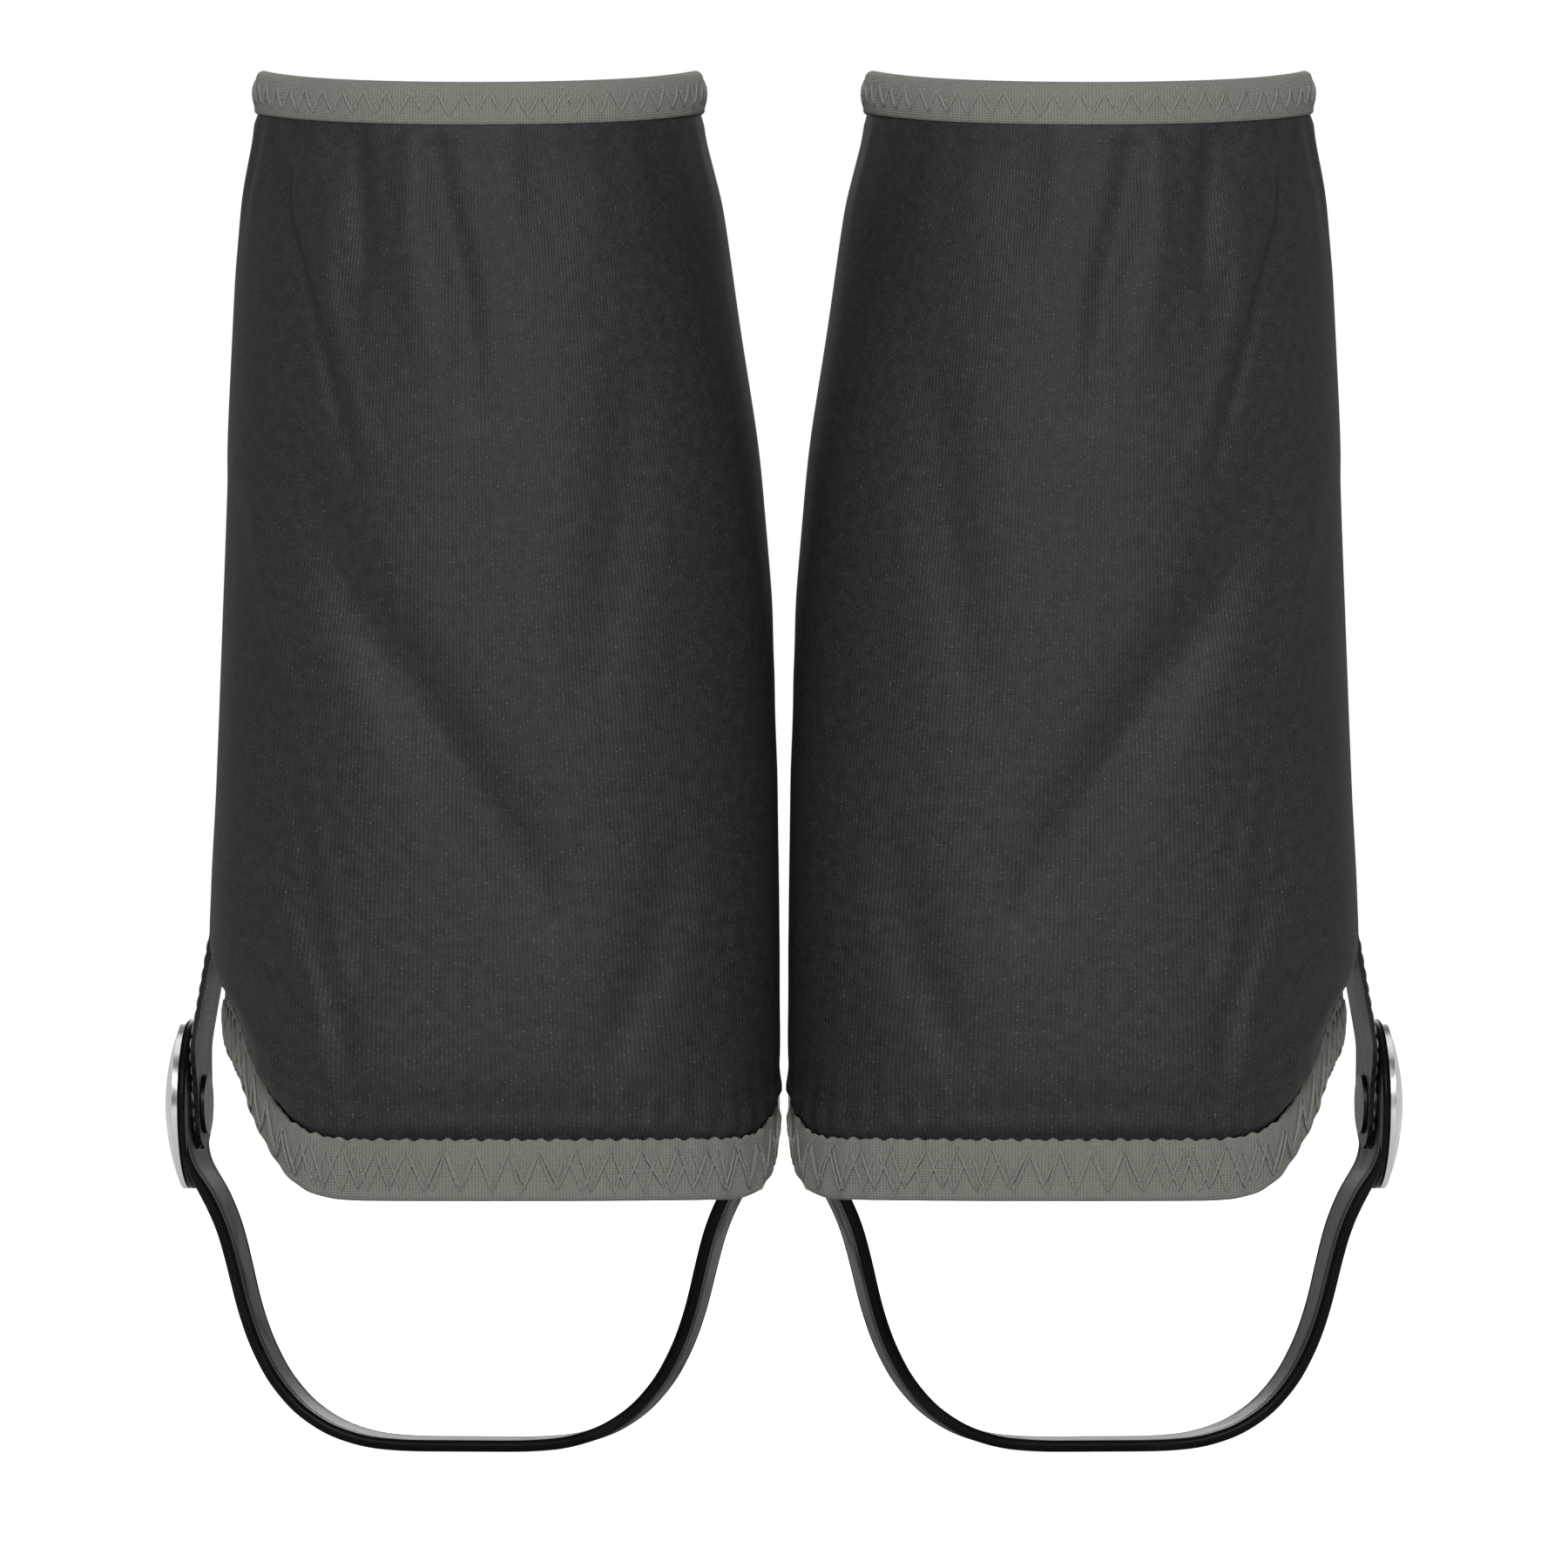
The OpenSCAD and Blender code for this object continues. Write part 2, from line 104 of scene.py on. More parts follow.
# ---- Measuring the CAD surfaces ----
def surface_of(node):
    mesh = nodes[node].data
    mesh.calc_loop_triangles()
    triangles = [tuple(t.vertices) for t in mesh.loop_triangles]
    return BVHTree.FromPolygons([v.co for v in mesh.vertices], triangles)


def outward(angle):
    return Vector((math.sin(angle), -math.cos(angle), 0))


def axis_at(z):
    """The sleeve's slanting middle line at height z."""
    part = min(1, max(0, (z - hem_low.z) / (top_high.z - hem_low.z)))
    point = hem_centre.lerp(top_centre, part)
    return Vector((point.x, point.y, z))


def outer_point(surface, angle, z):
    """Outermost point of a CAD surface at an angle and a height, or None."""
    reach = 0.2
    start = axis_at(z) + outward(angle) * reach
    return surface.ray_cast(start, -outward(angle), reach)[0]


def bell_weights(span, width):
    """Weights of an average over span neighbours on each side; they add up to 1."""
    weights = bell(np.arange(-span, span + 1), width)
    return weights / weights.sum()


def smooth_round(values, width):
    """Averages values round the ring with a bell of about that many stations."""
    span = int(3 * width)
    weights = bell_weights(span, width * 1.4)
    return sum(w * np.roll(values, k, axis=0) for w, k in zip(weights, range(-span, span + 1)))


def smooth_up(values, width):
    """Averages a grid along its rows, with its two end rows kept."""
    span = int(3 * width)
    weights = bell_weights(span, width * 1.4)
    padded = np.pad(values, ((0, 0), (span, span), (0, 0)), mode="reflect", reflect_type="odd")
    rows = values.shape[1]
    return sum(w * padded[:, k:k + rows] for k, w in enumerate(weights))


def measure_hem(angles):
    """Height of the hem band's lower edge at each angle."""
    surface = surface_of("right_hem_band")
    step = 0.2 * MM
    heights = []
    for angle in angles:
        z = hem_low.z + step / 2
        while outer_point(surface, angle, z) is None:
            z += step
        heights.append(z - step / 2)
    return smooth_round(np.array(heights), 3)


def top_shift(angles):
    """How far the top band stands above or below its CAD ring."""
    back = np.clip(np.cos(angles), 0, 1)
    side = np.abs(np.sin(angles)) ** 6
    return TOP_RISE * side - TOP_DIP * back ** 1.3


angles = np.arange(STATIONS) * math.tau / STATIONS
hem_edge = measure_hem(angles)
hem_top = hem_edge + HEM_H
top_edge = top_low.z + top_shift(angles)


def measure_sleeve():
    """Grid of points of the sleeve's outer face, from the hem band's top to the top band."""
    surface = surface_of("right_sleeve")
    grid = np.zeros((STATIONS, ROWS + 1, 3))
    for i, angle in enumerate(angles):
        for j in range(ROWS + 1):
            z = hem_top[i] + (top_edge[i] - hem_top[i]) * j / ROWS
            point = outer_point(surface, angle, z)
            grid[i, j] = (point.x, point.y, z)
    return smooth_up(smooth_round(grid, 2.5), 2.5)


sleeve_grid = measure_sleeve()


def normals_of(grid):
    """Outward unit normals of a grid that closes round its first axis."""
    around = np.roll(grid, -1, axis=0) - np.roll(grid, 1, axis=0)
    up = np.gradient(grid, axis=1)
    normal = np.cross(around, up)
    return normal / np.linalg.norm(normal, axis=2, keepdims=True)


# ---- Folds of the fabric ----
# Folds of the back: points given as (distance outwards of the middle line, height),
# then half width and height, all in millimetres; a valley has a height below 0.
BACK_FOLDS = [
    ([(40, 264), (38.4, 244), (32.7, 225), (24.7, 194)], 1.6, -1.35),
    ([(37, 262), (35.2, 244), (29.6, 224), (22, 198)], 3, 0.8),
    ([(24.5, 263), (23.5, 250), (22.5, 232)], 2.4, -1.3),
    ([(31.5, 264), (30.5, 246), (29, 222)], 3, 1.0),
    ([(9.8, 263), (7.5, 248), (3.4, 230), (1, 205)], 3.4, -1.5),
    ([(15.5, 264), (14.5, 240), (10, 215)], 4, 0.9),
    ([(36, 196), (25, 168), (13.2, 151), (-4.3, 123), (-12, 108)], 6.5, -2.8),
    ([(45, 192), (38, 151), (32, 123), (26, 94)], 2.2, 1.3),
    ([(40.5, 160), (35, 132), (28.5, 104)], 3, -1.3),
    ([(42, 118), (37.6, 106), (31.7, 91), (30, 76)], 2.2, 1.1),
    ([(49, 92), (42, 83), (33, 73)], 4.5, -2.6),
    ([(27.5, 92), (26.4, 74)], 2.4, -1.1),
    ([(-14, 262), (-15.5, 236)], 4, -0.7),
    ([(-30, 214), (-27, 180), (-22, 150)], 6, -1.1),
    ([(-38, 120), (-33, 96), (-24, 78)], 5, -1.2),
]
# Folds of the front and the sides, made up: points as (angle in degrees, height), then the same.
OTHER_FOLDS = [
    ([(128, 142), (155, 134), (180, 131), (205, 134), (232, 142)], 5, -1.8),
    ([(135, 118), (158, 113), (180, 111), (202, 113), (225, 118)], 4.5, -1.5),
    ([(140, 160), (165, 156), (195, 156), (220, 160)], 6, -1.0),
    ([(96, 128), (110, 150), (122, 178), (128, 206)], 5, -1.3),
    ([(80, 124), (84, 156), (80, 190)], 5, -1.0),
    ([(120, 120), (135, 146), (146, 176)], 4, -1.0),
    ([(264, 128), (250, 152), (240, 184), (236, 210)], 5, -1.2),
    ([(238, 118), (226, 146), (216, 176)], 4, -0.9),
    ([(112, 262), (110, 236)], 3.5, -0.8),
    ([(150, 262), (152, 232), (149, 206)], 4, -0.8),
    ([(205, 262), (207, 236)], 3.5, -0.7),
    ([(242, 262), (244, 228)], 4, -0.8),
]


def distance_to(points, across, z):
    """Distance from a line of points, and a weight that fades towards both of its ends."""
    best = np.full(across.shape, 1e3)
    along = np.zeros(across.shape)
    pieces = len(points) - 1
    for k, ((a0, z0), (a1, z1)) in enumerate(zip(points, points[1:])):
        da, dz = a1 - a0, z1 - z0
        part = np.clip(((across - a0) * da + (z - z0) * dz) / (da * da + dz * dz), 0, 1)
        distance = np.hypot(across - a0 - part * da, z - z0 - part * dz)
        closer = distance < best
        best = np.where(closer, distance, best)
        along = np.where(closer, (k + part) / pieces, along)
    return best, np.sqrt(np.clip(np.sin(math.pi * (0.06 + 0.88 * along)), 0, 1))


def fold_heights(grid):
    """Height of all folds over the sleeve, in metres."""
    x, z = grid[..., 0] / MM, grid[..., 2] / MM
    turn = np.broadcast_to(angles[:, None], x.shape)
    back = ramp(0.02, 0.25, np.cos(turn))
    total = np.zeros(x.shape)
    for points, width, height in BACK_FOLDS:
        distance, weight = distance_to(points, x - SPINE_X / MM, z)
        total += back * weight * height * bell(distance, width)
    for points, width, height in OTHER_FOLDS:
        line = [(math.radians(a) * GIRTH, h) for a, h in points]
        distance, weight = distance_to(line, turn * GIRTH, z)
        total += weight * height * bell(distance, width)
    below = (top_edge[:, None] - grid[..., 2]) / MM
    return total * ramp(-0.3, 4, below) * MM


def puckers(grid):
    """Small gathers beside both elastics, and the roll of fabric over the hem band."""
    turn = angles[:, None]
    above = (grid[..., 2] - hem_top[:, None]) / MM
    below = (top_edge[:, None] - grid[..., 2]) / MM
    small = np.zeros(STATIONS)
    large = np.zeros(STATIONS)
    for count, phase in zip(rng.integers(58, 90, 7), rng.uniform(0, math.tau, 7)):
        small += np.sin(count * angles + phase) / 7
    for count, phase in zip(rng.integers(17, 34, 6), rng.uniform(0, math.tau, 6)):
        large += np.sin(count * angles + phase) / 6
    roll = 1.3 * bell(above - 2.6, 2.7) + 0.5 * bell(above - 7, 5)
    hem = roll * (1 + 0.4 * small[:, None]) + 0.35 * large[:, None] * bell(above - 4, 9)
    calm = 0.45 + 0.55 * ramp(-0.2, 0.5, np.sin(turn))
    top = 0.2 * bell(below - 2, 3) + 1.1 * calm * large[:, None] * bell(below - 5, 15)
    fade = ramp(0, 2.2, above) * ramp(-0.5, 2, below)
    return (hem + top) * fade * MM


def fullness(turn):
    """1 on the inner side near the heel, where the two gaiters press together."""
    inner = np.degrees(math.tau - turn % math.tau)
    return ramp(30, 62, inner) * (1 - ramp(84, 97, inner))


def kept_apart(points, least):
    """Points no nearer than that to the plane between the two gaiters."""
    points = np.array(points)
    points[..., 0] = np.maximum(points[..., 0], least)
    return points


def fold_sleeve(grid):
    heights = fold_heights(grid) + puckers(grid)
    low = 1 - ramp(190 * MM, 235 * MM, grid[..., 2])
    heights += 1.3 * MM * fullness(angles)[:, None] * low
    return kept_apart(grid + normals_of(grid) * heights[..., None], LEAST_X)


sleeve_face = fold_sleeve(sleeve_grid)


# ---- Points on the two elastics ----
def round_ring(values, angle):
    """Value of a ring of stations at any angle."""
    place = (angle % math.tau) / math.tau * STATIONS
    low = int(place)
    part = place - low
    return values[low % STATIONS] * (1 - part) + values[(low + 1) % STATIONS] * part


hem_line = smooth_round(sleeve_grid[:, 0, :2], 2)
hem_tangent = np.roll(hem_line, -1, axis=0) - np.roll(hem_line, 1, axis=0)
hem_tangent /= np.linalg.norm(hem_tangent, axis=1, keepdims=True)
hem_out = np.stack([hem_tangent[:, 1], -hem_tangent[:, 0]], axis=1)


def hem_pucker(angle):
    return 0.16 * MM * math.sin(HEM_ZIGZAGS * angle) + 0.1 * MM * math.sin(23 * angle + 1)


def scallop(angle):
    """The uneven upper edge of the hem elastic."""
    return 0.22 * MM * math.sin(161 * angle) + 0.16 * MM * math.sin(97 * angle + 2)


def hem_point(angle, height, off):
    """A point off metres outside the middle of the hem band and height above its lower edge."""
    x, y = round_ring(hem_line, angle)
    ox, oy = round_ring(hem_out, angle)
    z = round_ring(hem_edge, angle) + height
    if height > HEM_H - 1.2 * MM:
        z += scallop(angle)
    out = off - FABRIC_T / 2 + hem_pucker(angle) + 1.6 * MM * float(fullness(angle))
    return Vector((max(x + ox * out, LEAST_X + 0.05 * off), y + oy * out, z))


def top_point(angle, height, off):
    """A point off metres outside the top band's inner face and height above its lower edge."""
    lean = -0.9 * MM * (max(0, height - 5 * MM) / (3.5 * MM)) ** 2
    bump = 0.07 * MM * math.sin(TOP_ZIGZAGS * angle)
    radius = top_radius - 1.8 * MM + off + lean + bump
    z = top_low.z + float(top_shift(np.array(angle))) + height
    return Vector((top_centre.x, top_centre.y, z)) + outward(angle) * radius


# ---- Making meshes ----
def make_piece(name, points, faces, look, body, slot, replaced=(), uvs=None):
    """One piece for each gaiter: the right one as given, and the left one mirrored."""
    made = {}
    for side, sign in SIDES.items():
        corners = [(p[0] * sign, p[1], p[2]) for p in points]
        turned = faces if sign > 0 else [tuple(reversed(f)) for f in faces]
        mesh = bpy.data.meshes.new(f"{side}_{name}")
        mesh.from_pydata(corners, [], turned)
        if uvs is not None:
            layer = mesh.uv_layers.new(name="cloth")
            flat = uvs if sign > 0 else [list(reversed(f)) for f in uvs]
            layer.data.foreach_set("uv", [c for face in flat for uv in face for c in uv])
        mesh.polygons.foreach_set("use_smooth", [True] * len(mesh.polygons))
        mesh.materials.append(look)
        mesh.validate()
        piece = bpy.data.objects.new(f"{side}_{name}", mesh)
        bpy.context.scene.collection.objects.link(piece)
        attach(piece, f"{side}_{body}")
        if replaced:
            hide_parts(*[f"{side}_{node}" for node in replaced])
        made[side] = piece
    return made


def grid_faces(columns, rows, closed_round, closed_up=False):
    """Quads of a grid stored column by column."""
    faces = []
    for i in range(columns if closed_round else columns - 1):
        for j in range(rows if closed_up else rows - 1):
            i2, j2 = (i + 1) % columns, (j + 1) % rows
            faces.append((i * rows + j, i2 * rows + j, i2 * rows + j2, i * rows + j2))
    return faces


def grid_uvs(columns, rows, width, heights, closed_up=False):
    """Flat metres for the quads of grid_faces, round the ring and up it."""
    uvs = []
    step = width / columns
    for i in range(columns):
        for j in range(rows if closed_up else rows - 1):
            low = heights[j]
            high = heights[j + 1]
            uvs.append([(i * step, low), ((i + 1) * step, low), ((i + 1) * step, high), (i * step, high)])
    return uvs


def add_thickness(piece, thickness):
    """Makes a face a closed shell that grows inwards."""
    shell = piece.modifiers.new("thickness", "SOLIDIFY")
    shell.thickness = thickness
    shell.offset = -1


def round_edges(piece, width, steepest=30):
    """Rounds the edges that turn by more than that many degrees."""
    rounding = piece.modifiers.new("edges", "BEVEL")
    rounding.width = width
    rounding.segments = 3
    rounding.limit_method = "ANGLE"
    rounding.angle_limit = math.radians(steepest)
    return rounding


def lengths_along(points):
    """Distance from the first point to each point, along the line through them."""
    steps = [(Vector(b) - Vector(a)).length for a, b in zip(points, points[1:])]
    return [0.0] + list(np.cumsum(steps))


def tube(points, outs, radius, sides=6, closed=True):
    """Points and faces of a thread that follows points; outs are its directions away from the cloth."""
    corners, count = [], len(points)
    for k, (point, out) in enumerate(zip(points, outs)):
        before = points[k - 1] if closed or k > 0 else point
        after = points[(k + 1) % count] if closed or k < count - 1 else point
        along = (after - before).normalized()
        across = along.cross(out).normalized()
        upright = across.cross(along)
        for s in range(sides):
            a = s * math.tau / sides
            corners.append(point + (across * math.cos(a) + upright * math.sin(a)) * radius)
    faces = []
    for k in range(count if closed else count - 1):
        for s in range(sides):
            k2, s2 = (k + 1) % count, (s + 1) % sides
            faces.append((k * sides + s, k2 * sides + s, k2 * sides + s2, k * sides + s2))
    if not closed:
        faces.append(tuple(range(sides)))
        faces.append(tuple(reversed(range((count - 1) * sides, count * sides))))
    return corners, faces


# ---- Materials ----
class Look:
    """A material under construction: its shader, and short calls that wire its nodes."""

    def __init__(self, name, colour, **sockets):
        self.material = bpy.data.materials.new(name)
        self.material.use_nodes = True
        self.tree = self.material.node_tree
        self.shader = self.tree.nodes["Principled BSDF"]
        self.shader.inputs["Base Color"].default_value = (*colour, 1)
        for socket, value in sockets.items():
            self.shader.inputs[socket.replace("_", " ")].default_value = value

    def add(self, kind, links=None, **values):
        made = self.tree.nodes.new(kind)
        for name, value in values.items():
            if name in made.inputs:
                made.inputs[name].default_value = value
            else:
                setattr(made, name, value)
        for name, source in (links or {}).items():
            self.tree.links.new(source, made.inputs[name])
        return made

    def place(self, stretch=(1, 1, 1), flat=False):
        """Coordinates in metres, from the cloth's flat map or from the object."""
        if flat:
            source = self.add("ShaderNodeUVMap", uv_map="cloth").outputs["UV"]
        else:
            source = self.add("ShaderNodeTexCoord").outputs["Object"]
        return self.add("ShaderNodeMapping", {"Vector": source}, Scale=stretch).outputs["Vector"]

    def noise(self, place, scale, detail=3.0):
        return self.add("ShaderNodeTexNoise", {"Vector": place}, Scale=scale, Detail=detail).outputs["Fac"]

    def wave(self, place, pitch, direction="X", wobble=0.0):
        """Ridges a pitch apart, in metres."""
        scale = math.tau / 20 / pitch
        made = self.add("ShaderNodeTexWave", {"Vector": place}, Scale=scale, Distortion=wobble)
        made.bands_direction = direction
        return made.outputs["Fac"]

    def clamp(self, value, low, high, to_low=0.0, to_high=1.0):
        made = self.add("ShaderNodeMapRange", {"Value": value})
        for name, amount in zip(("From Min", "From Max", "To Min", "To Max"), (low, high, to_low, to_high)):
            made.inputs[name].default_value = amount
        return made.outputs["Result"]

    def math(self, operation, a, b):
        made = self.add("ShaderNodeMath", operation=operation)
        for socket, value in zip(made.inputs, (a, b)):
            if isinstance(value, (int, float)):
                socket.default_value = value
            else:
                self.tree.links.new(value, socket)
        return made.outputs["Value"]

    def blend(self, amount, low, high):
        """A colour between two, each an (r, g, b) or another node's colour."""
        made = self.add("ShaderNodeMix", data_type="RGBA")
        self.tree.links.new(amount, made.inputs[0])
        for socket, value in ((made.inputs[6], low), (made.inputs[7], high)):
            if isinstance(value, tuple):
                socket.default_value = (*value, 1)
            else:
                self.tree.links.new(value, socket)
        return made.outputs[2]

    def colour(self, value):
        self.tree.links.new(value, self.shader.inputs["Base Color"])

    def roughness(self, value):
        self.tree.links.new(value, self.shader.inputs["Roughness"])

    def bump(self, height, depth, strength=1.0):
        made = self.add("ShaderNodeBump", {"Height": height}, Strength=strength, Distance=depth)
        self.tree.links.new(made.outputs["Normal"], self.shader.inputs["Normal"])


def fabric_look():
    """Black stretch knit: fine upright ribs, rows of loops, and faint glints of light painted into the
    colour as pale specks.
    """
    look = Look("ribbed_fabric", (0.022, 0.022, 0.024), Roughness=0.6, Specular_IOR_Level=0.25)
    flat = look.place(flat=True)
    ribs = look.wave(flat, RIB_PITCH)
    loops = look.wave(flat, 0.55 * MM, "Y", 0.6)
    # mask of the painted glints: small pale specks that stand for glints of light
    painted_speck_mask = look.clamp(look.noise(flat, 2300, 1.5), 0.6, 0.74)
    mottle = look.clamp(look.noise(flat, 420, 4.0), 0.35, 0.7)
    cloud = look.clamp(look.noise(look.place(), 14, 2.0), 0.35, 0.65)
    tone = look.blend(ribs, (0.01, 0.01, 0.0102), (0.018, 0.018, 0.0183))
    tone = look.blend(look.math("MULTIPLY", mottle, 0.45), tone, (0.034, 0.034, 0.0345))
    tone = look.blend(look.math("MULTIPLY", cloud, 0.18), tone, (0.009, 0.009, 0.0092))
    # painted glints: pale specks, strongest on the rib crests, put into the colour; the roughness is a
    # little lower there too
    painted_specks = look.math("MULTIPLY", painted_speck_mask, look.clamp(ribs, 0.2, 0.9, 0.25, 0.8))
    look.colour(look.blend(painted_specks, tone, (0.105, 0.105, 0.107)))
    look.roughness(look.clamp(painted_specks, 0, 1, 0.62, 0.5))
    relief = look.math("ADD", ribs, look.math("MULTIPLY", loops, 0.45))
    look.bump(look.math("ADD", relief, look.math("MULTIPLY", mottle, 0.8)), 0.08 * MM, 0.5)
    return look.material


def elastic_look():
    """Grey-green elastic: close upright ribs crossed by fine rows, a little fuzzy."""
    look = Look("grey_elastic", (0.2, 0.205, 0.175), Roughness=0.85, Specular_IOR_Level=0.25)
    look.shader.inputs["Sheen Weight"].default_value = 0.15
    look.shader.inputs["Sheen Roughness"].default_value = 0.45
    flat = look.place(flat=True)
    ribs = look.wave(flat, 0.62 * MM, "X", 0.5)
    rows = look.wave(flat, 0.5 * MM, "Y", 0.8)
    fuzz = look.clamp(look.noise(flat, 2600, 3.0), 0.3, 0.7)
    stain = look.clamp(look.noise(look.place(), 60, 3.0), 0.3, 0.7)
    tone = look.blend(ribs, (0.122, 0.126, 0.107), (0.195, 0.2, 0.171))
    tone = look.blend(look.math("MULTIPLY", rows, 0.25), tone, (0.227, 0.232, 0.202))
    tone = look.blend(look.math("MULTIPLY", fuzz, 0.3), tone, (0.255, 0.26, 0.228))
    look.colour(look.blend(look.math("MULTIPLY", stain, 0.2), tone, (0.137, 0.141, 0.119)))
    relief = look.math("ADD", look.math("ADD", ribs, rows), look.math("MULTIPLY", fuzz, 0.8))
    look.bump(relief, 0.13 * MM, 0.8)
    return look.material


def thread_look(name, dark, light):
    """Sewing thread: two plies twisted round each other."""
    look = Look(name, light, Roughness=0.55, Specular_IOR_Level=0.3)
    look.shader.inputs["Sheen Weight"].default_value = 0.1
    place = look.place()
    plies = look.wave(place, 0.28 * MM, "DIAGONAL")
    lint = look.clamp(look.noise(place, 1800, 2.0), 0.3, 0.7)
    tone = look.blend(plies, dark, light)
    look.colour(look.blend(look.math("MULTIPLY", lint, 0.3), tone, tuple(c * 1.15 for c in light)))
    look.bump(plies, 0.06 * MM, 0.6)
    return look.material


def webbing_look():
    """Black coated webbing of the tabs: glossy, with close upright ribs that catch the light, and pale
    upright streaks of painted reflection.
    """
    look = Look("tab_webbing", (0.012, 0.012, 0.013), Roughness=0.4, Specular_IOR_Level=0.15)
    look.shader.inputs["Coat Weight"].default_value = 0.02
    look.shader.inputs["Coat Roughness"].default_value = 0.2
    place = look.place()
    cords = look.wave(place, 1.5 * MM, "Y", 0.3)
    weave = look.wave(place, 0.5 * MM, "Z", 0.4)
    # painted reflection: pale upright streaks put into the colour stand for reflection streaks; the same
    # streaks make the coating a little rougher
    painted_reflection_streaks = look.clamp(look.noise(look.place((1, 1, 0.25)), 420, 4.0), 0.5, 0.75)
    tone = look.blend(cords, (0.004, 0.004, 0.004), (0.013, 0.013, 0.0133))
    look.colour(look.blend(look.math("MULTIPLY", painted_reflection_streaks, 0.3), tone, (0.035, 0.035, 0.036)))
    look.roughness(look.clamp(painted_reflection_streaks, 0, 1, 0.36, 0.5))
    look.bump(look.math("ADD", cords, look.math("MULTIPLY", weave, 0.35)), 0.15 * MM, 0.7)
    return look.material


def strap_look():
    """Moulded black strap: satin, with a fine grain and paler rubbing."""
    look = Look("moulded_strap", (0.006, 0.006, 0.006), Roughness=0.42, Specular_IOR_Level=0.09)
    place = look.place()
    grain = look.noise(place, 1700, 4.0)
    rub = look.clamp(look.noise(place, 70, 5.0), 0.52, 0.72)
    look.colour(look.blend(look.math("MULTIPLY", rub, 0.4), (0.005, 0.005, 0.005), (0.018, 0.018, 0.0185)))
    look.roughness(look.clamp(rub, 0, 1, 0.36, 0.6))
    look.bump(grain, 0.05 * MM, 0.5)
    return look.material


def metal_look(name, colour, rough, brushed, worn=0.25):
    """Plated metal with fine brushing, handling marks and a little dulling."""
    look = Look(name, colour, Metallic=1.0, Roughness=rough)
    place = look.place((1, 1, brushed))
    lines = look.noise(place, 900, 5.0)
    marks = look.clamp(look.noise(look.place(), 130, 6.0), 0.5, 0.8)
    dull = tuple(c * 0.72 for c in colour)
    look.colour(look.blend(look.math("MULTIPLY", marks, worn), colour, dull))
    look.roughness(look.math("ADD", look.clamp(lines, 0.3, 0.7, rough - 0.06, rough + 0.06),
                             look.math("MULTIPLY", marks, 0.3 * worn)))
    look.bump(lines, 0.01 * MM, 0.35)
    return look.material


looks = {
    "fabric": fabric_look(),
    "elastic": elastic_look(),
    "band_thread": thread_look("band_thread", (0.105, 0.108, 0.092), (0.23, 0.235, 0.202)),
    "seam_thread": thread_look("seam_thread", (0.012, 0.012, 0.013), (0.05, 0.05, 0.053)),
    "tab": webbing_look(),
    "tab_thread": thread_look("tab_thread", (0.2, 0.2, 0.19), (0.42, 0.42, 0.4)),
    "webbing": webbing_look(),
    "strap": strap_look(),
    "snap_metal": metal_look("snap_metal", (0.56, 0.56, 0.56), 0.3, 1.0),
    "backplate": metal_look("blackened_backplate", (0.035, 0.035, 0.036), 0.38, 1.0),
    "cap_metal": metal_look("cap_metal", (0.82, 0.82, 0.82), 0.26, 0.2, 0.05),
    "hook_wire": metal_look("hook_wire", (0.5, 0.5, 0.5), 0.26, 0.5),
}


# ---- Sleeve ----
def make_sleeve():
    """The fabric, from inside the hem band to inside the top band."""
    columns = []
    for angle, face, top in zip(angles, sleeve_face, hem_top):
        column = face.copy()
        seat = hem_point(angle, HEM_H - 2 * MM, FABRIC_T / 2)
        held = 1 - ramp(0, 3.5 * MM, column[:, 2] - top)
        column[:, :2] += (np.array(seat) - column[0])[:2] * held[:, None]
        low = [hem_point(angle, HEM_H - tuck * MM, FABRIC_T / 2) for tuck in (6, 3, 1.3)]
        inwards = -np.array(outward(angle)) * 0.1 * MM
        high = [column[-1] + inwards + (0, 0, tuck * MM) for tuck in (1.2, 3)]
        columns.append(low + list(column) + high)
    rows = len(columns[0])
    points = [p for column in columns for p in column]
    middle = [c[rows // 2] for c in columns]
    width = lengths_along(middle + middle[:1])[-1]
    heights = lengths_along(columns[0])
    made = make_piece("sleeve_fabric", points, grid_faces(STATIONS, rows, True), looks["fabric"],
                      "gaiter", "fabric", ["sleeve"], grid_uvs(STATIONS, rows, width, heights))
    for piece in made.values():
        add_thickness(piece, FABRIC_T)
    return made, width, heights[-1]


# ---- Elastic bands ----
def ring_piece(name, section, point_at, stations, look, slot, replaced):
    """A closed section of (height, off) pairs in millimetres, swept round a gaiter."""
    rows = len(section)
    ring = [k * math.tau / stations for k in range(stations)]
    points = [point_at(a, h * MM, off * MM) for a in ring for h, off in section]
    at_heel = points[:rows]
    middle = points[::rows]
    width = lengths_along(middle + middle[:1])[-1]
    heights = lengths_along(at_heel + at_heel[:1])
    return make_piece(name, points, grid_faces(stations, rows, True, True), look, "gaiter", slot,
                      replaced, grid_uvs(stations, rows, width, heights, True))


def arc(centre_h, centre_off, radius, start, end, steps):
    """Points of a round stretch of a section; the angle is 0 outwards and 90 upwards."""
    turns = [math.radians(start + (end - start) * k / steps) for k in range(steps + 1)]
    return [(centre_h + radius * math.sin(t), centre_off + radius * math.cos(t)) for t in turns]


def make_hem_band():
    out = HEM_HALF / MM
    leg = 0.35                 # half the thickness of one leg
    high, inner_high = HEM_H / MM, HEM_H / MM - 1
    section = (
        arc(out, 0, out, -180, 0, 10)
        + [(h, out + 0.12 * math.sin(math.pi * (h - out) / (high - out))) for h in (3, 5, 7, 9, 10.6)]
        + arc(high - leg, out - leg, leg, 0, 180, 6)
        + [(7, out - 2 * leg), (2, out - 2 * leg), (1.2, 0), (2, 2 * leg - out), (7, 2 * leg - out)]
        + arc(inner_high - leg, leg - out, leg, 0, 180, 6)
        + [(8, -out), (5, -out), (3, -out)])
    return ring_piece("hem_elastic", section, hem_point, 720, looks["elastic"], "elastic", ["hem_band"])


